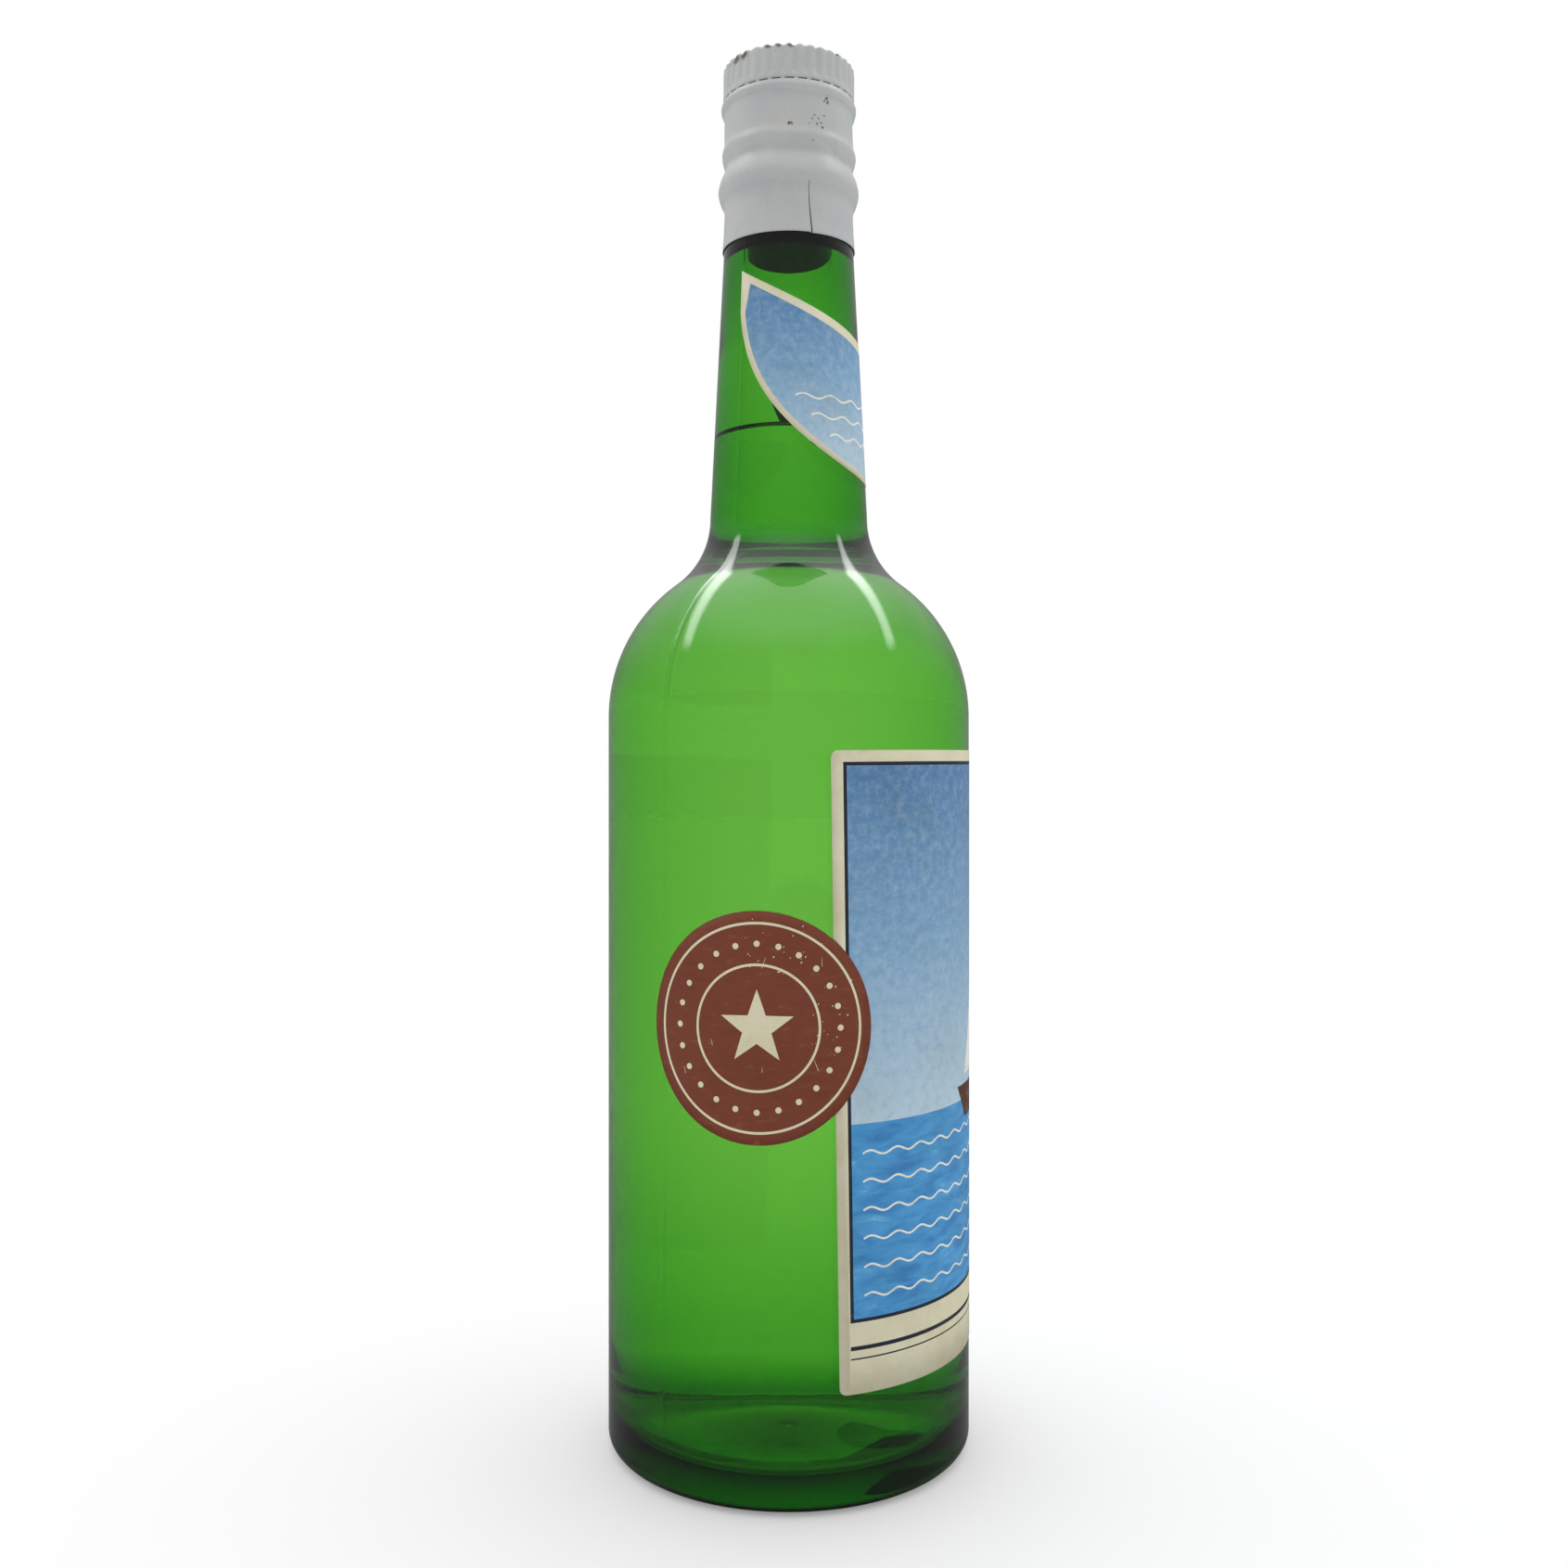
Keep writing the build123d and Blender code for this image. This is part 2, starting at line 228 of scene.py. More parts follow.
def new_object(name, verts, faces, smooth=True):
    mesh = bpy.data.meshes.new(name)
    mesh.from_pydata([Vector(v) * MM for v in verts], [], faces)
    mesh.validate()
    mesh.polygons.foreach_set("use_smooth", [smooth] * len(mesh.polygons))
    obj = bpy.data.objects.new(name, mesh)
    bpy.context.scene.collection.objects.link(obj)
    return obj


def lathe(name, profile, angles, shift=None):
    """Closed solid of revolution. The profile is a ring of points clear of the axis, or a line from the
    axis back to the axis. shift moves (r, z) at an angle in radians."""
    on_axis = profile[0][0] == 0
    rings = profile[1:-1] if on_axis else profile
    verts = []
    for r, z in rings:
        for angle in angles:
            place = shift(r, z, angle) if shift else (r, z)
            verts.append((place[0] * math.cos(angle), place[0] * math.sin(angle), place[1]))
    count = len(angles)
    rows = len(rings)
    faces = []
    for i in range(count):
        j = (i + 1) % count
        for row in range(rows - 1 if on_axis else rows):
            low = row * count
            high = (row + 1) % rows * count
            faces.append((low + i, low + j, high + j, high + i))
        if on_axis:
            first = rows * count
            top = (rows - 1) * count
            faces.append((first, j, i))
            faces.append((top + i, top + j, first + 1))
    if on_axis:
        verts += [(0, 0, profile[0][1]), (0, 0, profile[-1][1])]
    return new_object(name, verts, faces)


def even_angles(count):
    return [2 * math.pi * i / count for i in range(count)]


def angle_gap(angle, degrees):
    """Signed difference between an angle in radians and one in degrees, in degrees."""
    return (math.degrees(angle) - degrees + 180) % 360 - 180


def ease(share):
    share = min(1.0, max(0.0, share))
    return share * share * (3 - 2 * share)


# ---------------------------------------------------------------- material nodes

def srgb(red, green, blue):
    """Linear colour from the usual 0 to 255 values."""
    def linear(value):
        value /= 255
        return value / 12.92 if value <= 0.04045 else ((value + 0.055) / 1.055) ** 2.4
    return (linear(red), linear(green), linear(blue), 1.0)


class Graph:
    """A material's nodes in short form. Any input may be a number, a colour or another node's output."""

    def __init__(self, name):
        self.material = bpy.data.materials.new(name)
        self.material.use_nodes = True
        self.nodes = self.material.node_tree.nodes
        self.links = self.material.node_tree.links
        self.shader = self.nodes["Principled BSDF"]

    def put(self, socket, value):
        if isinstance(value, bpy.types.NodeSocket):
            self.links.new(value, socket)
        else:
            socket.default_value = value

    def node(self, kind, inputs, output=0, **settings):
        node = self.nodes.new("ShaderNode" + kind)
        for key, value in settings.items():
            setattr(node, key, value)
        for key, value in inputs.items():
            self.put(node.inputs[key], value)
        return node.outputs[output]

    def math(self, operation, first, second=0.0):
        return self.node("Math", {0: first, 1: second}, operation=operation)

    def mix(self, share, first, second, blend="MIX"):
        return self.node("Mix", {0: share, 6: first, 7: second}, output=2, data_type="RGBA", blend_type=blend)

    def noise(self, at, scale, detail=3.0, roughness=0.55, distortion=0.0):
        inputs = {"Vector": at, "Scale": scale, "Detail": detail, "Roughness": roughness,
                  "Distortion": distortion}
        return self.node("TexNoise", inputs)

    def share(self, value, low, high):
        """0 below low, 1 above high, smooth between."""
        inputs = {"Value": value, "From Min": low, "From Max": high}
        return self.node("MapRange", inputs, interpolation_type="SMOOTHSTEP")

    def ramp(self, value, stops):
        """Colour by value, from a list of (value, colour)."""
        low = stops[0][0]
        high = stops[-1][0]
        share = self.node("MapRange", {"Value": value, "From Min": low, "From Max": high})
        node = self.nodes.new("ShaderNodeValToRGB")
        self.links.new(share, node.inputs[0])
        elements = node.color_ramp.elements
        elements[0].color = stops[0][1]
        elements[1].color = stops[-1][1]
        for stop, colour in stops[1:-1]:
            elements.new((stop - low) / (high - low)).color = colour
        return node.outputs[0]

    def stretched(self, at, scale):
        return self.node("VectorMath", {0: at, 1: scale}, operation="MULTIPLY")

    def near(self, at, centre, radius):
        """1 at a point, falling smoothly to 0 at radius."""
        gap = self.node("VectorMath", {0: at, 1: centre}, output=1, operation="DISTANCE")
        return self.share(gap, radius, radius * 0.35)

    def bump(self, height, distance, strength=1.0):
        self.links.new(self.node("Bump", {"Strength": strength, "Distance": distance, "Height": height}),
                       self.shader.inputs["Normal"])

    def finish(self, colour, roughness, **sockets):
        """Sets the shader. A socket's name is written in lower case, with _ for each space."""
        self.put(self.shader.inputs["Base Color"], colour)
        self.put(self.shader.inputs["Roughness"], roughness)
        for socket in self.shader.inputs:
            key = socket.name.lower().replace(" ", "_")
            if key in sockets:
                self.put(socket, sockets[key])
        return self.material


def object_mm(graph):
    """Place on the object, in millimetres."""
    place = graph.node("TexCoord", {}, output=3)
    return graph.stretched(place, (1 / MM, 1 / MM, 1 / MM))


def print_mm(graph):
    """Place on the flat print, in millimetres."""
    place = graph.node("UVMap", {}, uv_map="print")
    return graph.stretched(place, (100, 100, 0))


def split(graph, vector):
    node = graph.nodes.new("ShaderNodeSeparateXYZ")
    graph.links.new(vector, node.inputs[0])
    return node.outputs[0], node.outputs[1], node.outputs[2]


# ---------------------------------------------------------------- glass and rum

def shoulder(arc_r, neck_r, neck_z):
    """Shoulder line: a convex arc from the body, then a concave one up to the foot of the neck."""
    centre = (BODY_R - SHOULDER_ARC_R, SHOULDER_START_Z)
    across = neck_r - centre[0]
    rise = neck_z - centre[1]
    neck_arc_r = (across**2 + rise**2 - arc_r**2) / (2 * (arc_r - across))
    neck_centre = (neck_r + neck_arc_r, neck_z)
    turn = math.degrees(math.atan2(neck_centre[1] - centre[1], neck_centre[0] - centre[0]))
    return joined(arc(centre, arc_r, 0, turn, 40), arc(neck_centre, neck_arc_r, turn + 180, 180, 20))


def outer_profile():
    """Outside of the glass, from the middle of the push-up to the lip."""
    foot_r = BODY_R - HEEL_INSET
    ring_r = foot_r - BEARING_RING_WIDTH
    punt_r = (ring_r**2 + PUNT_HEIGHT**2) / (2 * PUNT_HEIGHT)
    punt_turn = math.degrees(math.asin(ring_r / punt_r))
    heel = [(foot_r + HEEL_INSET * math.sin(math.radians(a)), HEEL_HEIGHT * (1 - math.cos(math.radians(a))))
            for a in range(0, 91, 10)]
    neck_gap = GRIP_LINE[0][0] - NECK_END_R
    groove_r, groove_z = GRIP_LINE[-1][0] - neck_gap, GRIP_LINE[-1][1]
    return joined(
        arc((0, PUNT_HEIGHT - punt_r), punt_r, 90, 90 - punt_turn, 14),
        [(ring_r, 0), (ring_r + 0.4, 0), (foot_r, 0)],
        heel,
        line((BODY_R, HEEL_HEIGHT), (BODY_R, SHOULDER_START_Z), 16),
        shoulder(SHOULDER_ARC_R, NECK_START_R, NECK_START_Z),
        line((NECK_START_R, NECK_START_Z), (NECK_END_R, NECK_END_Z), 14),
        curve_through([(r - neck_gap, z) for r, z in GRIP_LINE], 6),
        [(groove_r, groove_z), (groove_r, 274.6), (12.9, 275.0),
         (THREAD_ROOT_R + 0.2, 275.7), (THREAD_ROOT_R, 276.2)],
        line((THREAD_ROOT_R, 276.2), (THREAD_ROOT_R, LIP_Z - LIP_ROUND), 60),
        arc((THREAD_ROOT_R - LIP_ROUND, LIP_Z - LIP_ROUND), LIP_ROUND, 0, 90, 6),
    )


def inner_profile(swell, top_z):
    """Inside of the glass from the middle of its floor up to top_z, moved out into the glass by swell."""
    wall_r = BODY_R - WALL + swell
    low_r = wall_r - LOW_WALL_EXTRA
    corner_z = FLOOR_EDGE_Z + FLOOR_CORNER_R - swell
    across = NECK_HOLLOW_R + FLARE_R - (BODY_R - SHOULDER_ARC_R)
    foot_z = SHOULDER_START_Z + math.sqrt((SHOULDER_ARC_R - WALL + FLARE_R) ** 2 - across**2)
    floor = [((low_r - FLOOR_CORNER_R) * i / 12,
              FLOOR_EDGE_Z - swell + (FLOOR_MIDDLE_Z - FLOOR_EDGE_Z) * (0.5 + 0.5 * math.cos(math.pi * i / 12)))
             for i in range(13)]
    wall = [(low_r + LOW_WALL_EXTRA * ease(i / 24), corner_z + (LOW_WALL_TOP_Z - corner_z) * i / 24)
            for i in range(25)]
    foot = (NECK_HOLLOW_R + swell, foot_z)
    middle = (NECK_MIDDLE_R + swell, NECK_MIDDLE_Z)
    bore_r = BORE_R + swell
    if top_z > BORE_START_Z:
        neck = joined(line(foot, middle, 8),
                      curve_through([middle, (bore_r, BORE_START_Z), (bore_r, top_z)], 10))
    else:
        share = (top_z - foot_z) / (NECK_MIDDLE_Z - foot_z)
        neck = line(foot, (foot[0] + (middle[0] - foot[0]) * share, top_z), 8)
    return joined(
        floor,
        arc((low_r - FLOOR_CORNER_R, corner_z), FLOOR_CORNER_R, -90, 0, 12),
        wall,
        line((wall_r, LOW_WALL_TOP_Z), (wall_r, SHOULDER_START_Z), 8),
        shoulder(SHOULDER_ARC_R - WALL + swell, NECK_HOLLOW_R + swell, foot_z),
        neck,
    )


def glass_shift(r, z, angle):
    """Adds the mould seams and the screw thread to the outside of the glass."""
    if abs(r - THREAD_ROOT_R) < 0.01 and z > THREAD_START_Z - 2:
        rise = 0.0
        for turn in range(2):
            along = angle / (2 * math.pi) + turn
            if along <= THREAD_TURNS:
                ends = ease(along * 12) * ease((THREAD_TURNS - along) * 12)
                off = abs(z - THREAD_START_Z - THREAD_PITCH * along)
                rise = max(rise, ends * ease((1.15 - off) / 0.6))
        return r + (THREAD_CREST_R - THREAD_ROOT_R) * rise, z
    if HEEL_HEIGHT < z < NECK_END_Z and r > BORE_R + WALL + 1 and r > outside_r(z) - 0.05:
        for seam in SEAM_ANGLES:
            off = angle_gap(angle, seam) * math.radians(r)
            r += 0.07 * math.exp(-(off / 0.28) ** 2)
    return r, z


def outside_r(z):
    """Radius of the outside of the glass, straight stretches only; elsewhere small enough to let all pass."""
    if z <= SHOULDER_START_Z:
        return BODY_R
    if z >= NECK_START_Z:
        return NECK_START_R + (NECK_END_R - NECK_START_R) * (z - NECK_START_Z) / (NECK_END_Z - NECK_START_Z)
    return 0.0


def seamed_angles():
    """Even steps round the bottle, with close ones across each mould seam."""
    degrees = {i * 1.5 for i in range(240)}
    for seam in SEAM_ANGLES:
        degrees |= {(seam + step) % 360 for step in (-0.9, -0.6, -0.35, -0.15, 0, 0.15, 0.35, 0.6, 0.9)}
    return [math.radians(degree) for degree in sorted(degrees)]


def glass_material():
    graph = Graph("green_glass")
    graph.finish((1, 1, 1, 1), 0.0, transmission_weight=1.0, ior=1.52)
    absorb = graph.nodes.new("ShaderNodeVolumeAbsorption")
    absorb.inputs["Color"].default_value = (0.37, 0.77, 0.05, 1)
    absorb.inputs["Density"].default_value = 600.0
    graph.links.new(absorb.outputs["Volume"], graph.nodes["Material Output"].inputs["Volume"])
    place = object_mm(graph)
    orange_peel = graph.noise(place, 0.06, 2.0)
    graph.bump(orange_peel, 0.0004, 0.2)
    return graph.material


def rum_material():
    graph = Graph("white_rum")
    graph.finish((1, 1, 1, 1), 0.0, transmission_weight=1.0, ior=1.36)
    absorb = graph.nodes.new("ShaderNodeVolumeAbsorption")
    absorb.inputs["Color"].default_value = (0.9, 0.95, 0.88, 1)
    absorb.inputs["Density"].default_value = 1.0
    graph.links.new(absorb.outputs["Volume"], graph.nodes["Material Output"].inputs["Volume"])
    return graph.material


def make_bottle():
    lip_r = 0.5
    inner = list(reversed(inner_profile(0, LIP_Z - lip_r)))
    mouth = arc((BORE_R + lip_r, LIP_Z - lip_r), lip_r, 90, 180, 4)
    bottle = lathe("blown_glass", joined(outer_profile(), mouth, inner), seamed_angles(), glass_shift)
    bottle.data.materials.append(glass_material())
    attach(bottle, "bottle")
    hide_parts("bottle_glass")


def make_rum():
    overlap = 0.04
    flat_z = FILL_Z - MENISCUS
    side = inner_profile(overlap, flat_z - 0.2)
    side += [inner_profile(overlap, z)[-1] for z in (flat_z - 0.03, FILL_Z)]
    rim = side[-1][0]
    top = [(rim - 0.2, flat_z + 0.35 * MENISCUS), (rim - 0.4, flat_z + 0.08 * MENISCUS), (rim - 0.5, flat_z),
           (rim - 0.56, flat_z),
           (rim - 0.7, flat_z), (0, flat_z)]
    rum = lathe("rum", side + top, even_angles(288))
    rum.data.materials.append(rum_material())
    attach(rum, "bottle")
    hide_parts("rum_fill")


# ---------------------------------------------------------------- closure

# Where the lacquer is chipped to dirty metal: angle, height and size of each chip
CHIPS = [
    (-226.6, 293.6, 1.5), (-217.0, 293.7, 1.4), (-238.0, 293.9, 0.9), (-193.0, 294.3, 0.9), (-183.8, 294.4, 0.9),
    (-173.0, 294.4, 1.0), (-128.0, 294.2, 0.5), (-101.0, 294.3, 0.7), (-60.0, 294.2, 0.8), (12.0, 294.2, 0.6),
    (40.0, 294.4, 0.8), (95.0, 294.2, 0.7), (-174.6, 277.9, 0.5), (-173.0, 277.9, 0.55), (-140.8, 284.1, 0.5),
    (-142.5, 283.4, 0.45), (-139.0, 283.3, 0.4), (-147.0, 276.6, 0.4), (-154.0, 274.6, 0.4), (-131.0, 272.8, 0.4),
    (-127.0, 272.4, 0.35), (-150.0, 278.4, 0.35),
    (-155.0, 279.2, 0.3), (-152.0, 280.0, 0.3), (-148.5, 279.4, 0.35), (-146.0, 278.6, 0.3), (-145.0, 277.7, 0.35),
    (-143.0, 280.4, 0.3), (-142.0, 277.0, 0.3), (-139.5, 276.2, 0.3), (-136.5, 275.5, 0.3), (-134.0, 274.6, 0.3),
    (-151.0, 276.0, 0.25), (-157.0, 278.0, 0.25), (60.0, 279.0, 0.5), (15.0, 266.0, 0.5), (-70.0, 283.0, 0.4),
]


def lacquer_material(name, low_z, high_z):
    """Thin grey-white lacquer on aluminium, satin, with chips, fine scratches and a little grime."""
    graph = Graph(name)
    place = object_mm(graph)
    x, y, z = split(graph, place)
    cloudy = graph.noise(place, 0.12, 3.0)
    fine = graph.noise(place, 1.6, 4.0)
    tone = graph.ramp(cloudy, [(0.3, srgb(178, 183, 184)), (0.5, srgb(184, 188, 187)),
                               (0.7, srgb(189, 190, 187))])
    grime = graph.math("MULTIPLY", graph.share(fine, 0.52, 0.8), 0.25)
    tone = graph.mix(grime, tone, srgb(140, 142, 138))
    ragged = graph.node("VectorMath", {0: graph.node("TexNoise", {"Vector": place, "Scale": 2.2, "Detail": 4.0},
                                                      output=1),
                                       1: (0.5, 0.5, 0.5)}, operation="SUBTRACT")
    shaken = graph.node("VectorMath", {0: place, 1: graph.stretched(ragged, (0.9, 0.9, 1.5))}, operation="ADD")
    bare = 0.0
    for angle, height, size in CHIPS:
        if low_z - 1 < height < high_z + 1:
            turn = math.radians(angle)
            centre = (14.0 * math.cos(turn), 14.0 * math.sin(turn), height)
            bare = graph.math("MAXIMUM", bare, graph.near(shaken, centre, size))
    streaks = graph.noise(graph.stretched(place, (1.0, 1.0, 0.16)), 1.1, 5.0, 0.7)
    scuffs = graph.share(streaks, 0.69, 0.74)
    specks = graph.share(graph.noise(place, 2.6, 2.0), 0.76, 0.8)
    worn = graph.math("MAXIMUM", graph.math("MULTIPLY", scuffs, 0.25), graph.math("MULTIPLY", specks, 0.6))
    tone = graph.mix(worn, tone, srgb(120, 122, 120))
    tone = graph.mix(bare, tone, graph.mix(fine, srgb(58, 52, 47), srgb(112, 104, 96)))
    rough = graph.math("ADD", 0.34, graph.math("MULTIPLY", fine, 0.16))
    height = graph.math("SUBTRACT", graph.math("MULTIPLY", cloudy, 0.6), graph.math("MULTIPLY", bare, 0.5))
    height = graph.math("ADD", height, graph.math("MULTIPLY", fine, 0.06))
    graph.bump(height, 0.0003, 0.5)
    return graph.finish(tone, rough)


def painted_shade_inside_material():
    """Inside of the sleeve: dark grey metal, painted shade where little light gets in."""
    graph = Graph("sleeve_inside")
    place = object_mm(graph)
    cloudy = graph.noise(place, 0.5, 4.0)
    # Dark greys: painted shade inside the sleeve
    tone = graph.ramp(cloudy, [(0.3, srgb(44, 46, 44)), (0.7, srgb(70, 71, 68))])
    graph.bump(cloudy, 0.0002, 0.4)
    return graph.finish(tone, 0.45, metallic=0.6)


def sleeve_shift(r, z, angle):
    """Hand-crimped sheet: crimps that wander in height, a few dents, and a lifted edge beside the slit."""
    free = ease((z - SLEEVE_LOW_Z) / 6) * ease((SLEEVE_TOP_Z - z) / 2.5)
    height = z + free * (0.35 * math.sin(angle - 0.6) + 0.16 * math.sin(3 * angle + 0.9)
                        + 0.08 * math.sin(7 * angle))
    wave = 0.035 * math.sin(5 * angle + 0.33 * z) + 0.03 * math.sin(9 * angle - 0.5 * z + 2.0)
    wave += 0.05 * math.sin(2 * angle + 0.11 * z + 1.0)
    crease = angle_gap(angle, -132) / 22
    crease_z = 273.6 - 1.9 * crease
    wave -= 0.12 * math.exp(-crease**2) * math.exp(-((z - crease_z) / 0.5) ** 2)
    beside = angle_gap(angle, SLIT_ANGLE)
    low = ease((266.0 - z) / 9.0)
    if beside > 0:
        wave += 0.12 * low * math.exp(-beside / 9)
        height -= 0.22 * low * math.exp(-beside / 25)
    return r + wave * (0.25 + 0.75 * free) , height


def make_sleeve():
    outside = curve_through([*GRIP_LINE, *SLEEVE_UPPER_LINE], 6)
    inside = [(r - SHEET, z) for r, z in reversed(outside)]
    edge = SHEET / 3
    outside[0] = (outside[0][0] - edge, outside[0][1])
    outside.insert(1, (outside[0][0] + edge, outside[0][1] + edge))
    sleeve = lathe("crimped_sleeve", outside + inside, even_angles(360), sleeve_shift)
    sleeve.data.materials.append(lacquer_material("sleeve_lacquer", SLEEVE_LOW_Z, SLEEVE_TOP_Z))
    sleeve.data.materials.append(painted_shade_inside_material())
    # Faces turned inwards get the dark painted-shade material
    for face in sleeve.data.polygons:
        outward = Vector((face.center.x, face.center.y, 0)).normalized().dot(face.normal)
        face.material_index = 1 if outward < -0.3 else 0

    turn = math.radians(SLIT_ANGLE)
    top = (266.0, -0.25)
    low = (SLEEVE_LOW_Z - 1.5, 0.55)
    verts = []
    for z, drift in (low, top):
        half = 0.16 if z == low[0] else 0.05
        for reach, side in ((11, -half), (17, -half), (17, half), (11, half)):
            across = drift + side
            verts.append((reach * math.cos(turn) - across * math.sin(turn),
                          reach * math.sin(turn) + across * math.cos(turn), z))
    faces = [(3, 2, 1, 0), (4, 5, 6, 7), (0, 1, 5, 4), (1, 2, 6, 5), (2, 3, 7, 6), (3, 0, 4, 7)]
    cutter = new_object("slit_cutter", verts, faces, smooth=False)
    cut = sleeve.modifiers.new("slit", "BOOLEAN")
    cut.operation = "DIFFERENCE"
    cut.solver = "EXACT"
    cut.object = cutter
    bpy.context.view_layer.update()
    depsgraph = bpy.context.evaluated_depsgraph_get()
    slit_mesh = bpy.data.meshes.new_from_object(sleeve.evaluated_get(depsgraph))
    sleeve.modifiers.clear()
    sleeve.data = slit_mesh
    bpy.data.objects.remove(cutter)
    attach(sleeve, "bottle")
    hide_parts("sleeve")


def cap_shift(r, z, angle):
    """Knurled side: soft flutes that run out through the top edge, each a little different."""
    if r < CAP_R - CAP_WALL + 0.01 and z < CAP_TOP_Z - 0.4:
        return r, z
    rise = ease((z - CAP_LOW_Z - 0.6) / 1.2)
    rim = ease((r - CAP_R + 2.2) / 1.2)
    flute = (0.5 + 0.5 * math.cos(FLUTES * angle)) ** 1.4
    each = 1 + 0.35 * math.sin(5 * angle + 1) * math.sin(11 * angle)
    dent = 0.05 * math.sin(3 * angle + 0.4) * ease((z - CAP_LOW_Z) / 3)
    depth = 0.3 * flute * each * rise * rim
    sag = 0.22 * flute * each * rim * ease((z - CAP_TOP_Z + 1.0) / 1.0)
    return r - depth + dent * rim, z - sag


def make_cap():
    ceiling = CAP_TOP_Z - 0.3
    edge = 0.9
    profile = joined(
        [(0, ceiling), (6, ceiling), (11, ceiling), (CAP_R - CAP_WALL, ceiling),
         (CAP_R - CAP_WALL, CAP_LOW_Z)],
        [(CAP_R - CAP_WALL, CAP_LOW_Z), (CAP_R - 0.08, CAP_LOW_Z), (CAP_R, CAP_LOW_Z + 0.08)],
        line((CAP_R, CAP_LOW_Z + 0.08), (CAP_R, CAP_TOP_Z - edge), 14),
        arc((CAP_R - edge, CAP_TOP_Z - edge), edge, 0, 90, 8),
        [(CAP_R - edge, CAP_TOP_Z), (12.4, CAP_TOP_Z - 0.02), (11.6, CAP_TOP_Z - 0.1), (10.5, CAP_TOP_Z - 0.14),
         (6, CAP_TOP_Z - 0.12), (0, CAP_TOP_Z - 0.1)],
    )
    cap = lathe("knurled_cap", profile, even_angles(FLUTES * 12), cap_shift)
    cap.data.materials.append(lacquer_material("cap_lacquer", CAP_LOW_Z, CAP_TOP_Z))
    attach(cap, "cap")
    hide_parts("cap_shell")


def insert_material():
    graph = Graph("insert_plastic")
    place = object_mm(graph)
    x, y, z = split(graph, place)
    cloudy = graph.noise(place, 0.25, 3.0)
    flow = graph.noise(graph.stretched(place, (0.3, 0.3, 3.0)), 1.0, 4.0)
    tone = graph.mix(cloudy, srgb(216, 214, 203), srgb(232, 231, 224))
    tone = graph.mix(graph.math("MULTIPLY", graph.share(flow, 0.55, 0.8), 0.3), tone, srgb(190, 186, 170))
    graph.bump(flow, 0.0001, 0.35)
    return graph.finish(tone, graph.math("ADD", 0.36, graph.math("MULTIPLY", cloudy, 0.15)),
                        subsurface_weight=0.1)


def film_material():
    graph = Graph("liner_film")
    place = object_mm(graph)
    x, y, z = split(graph, place)
    radius = graph.node("VectorMath", {0: graph.stretched(place, (1, 1, 0))}, output=1, operation="LENGTH")
    ring = graph.math("MULTIPLY", graph.share(radius, 9.2, 9.8), graph.share(radius, 11.6, 11.0))
    cloudy = graph.noise(place, 0.4, 4.0)
    tone = graph.mix(cloudy, srgb(222, 221, 214), srgb(238, 238, 234))
    tone = graph.mix(graph.math("MULTIPLY", ring, 0.35), tone, srgb(178, 180, 170))
    graph.bump(graph.math("SUBTRACT", cloudy, ring), 0.0002, 0.4)
    return graph.finish(tone, 0.3)


def cork_material():
    graph = Graph("liner_cork")
    place = object_mm(graph)
    grains = graph.node("TexVoronoi", {"Vector": place, "Scale": 1.1, "Randomness": 1.0}, output=1)
    tint = graph.node("TexVoronoi", {"Vector": place, "Scale": 1.1}, output=0)
    fine = graph.noise(place, 1.8, 5.0)
    value = split(graph, grains)[0]
    tone = graph.ramp(value, [(0.0, srgb(150, 110, 70)), (0.5, srgb(190, 150, 104)),
                              (1.0, srgb(212, 176, 130))])
    tone = graph.mix(graph.share(fine, 0.6, 0.72), tone, srgb(84, 54, 34))
    tone = graph.mix(graph.share(tint, 0.5, 0.75), tone, srgb(110, 74, 46))
    graph.bump(fine, 0.0003, 0.7)
    return graph.finish(tone, 0.78)


def dress_cad_nodes():
    """Materials for the CAD nodes whose shape is already right."""
    dress = {
        "cap_thread_insert": insert_material(),
        "liner_facing": film_material(),
        "liner_core": cork_material(),
        "tear_bridges": lacquer_material("bridge_lacquer", SLEEVE_TOP_Z, CAP_LOW_Z),
    }
    for node, material in dress.items():
        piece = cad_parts[node]
        piece.data.materials.clear()
        piece.data.materials.append(material)


# ---------------------------------------------------------------- printed labels

# A printed shape: closed outlines in millimetres, which finish it takes, its ink and how uneven the ink is
Shape = namedtuple("Shape", "loops finish ink mottle")

CREAM = srgb(218, 213, 184)
SEAL_CREAM = srgb(222, 216, 186)
NAVY = srgb(34, 42, 58)
BROWN = srgb(92, 50, 30)
WHITE = srgb(232, 234, 226)
SEAL_BROWN = srgb(124, 62, 42)


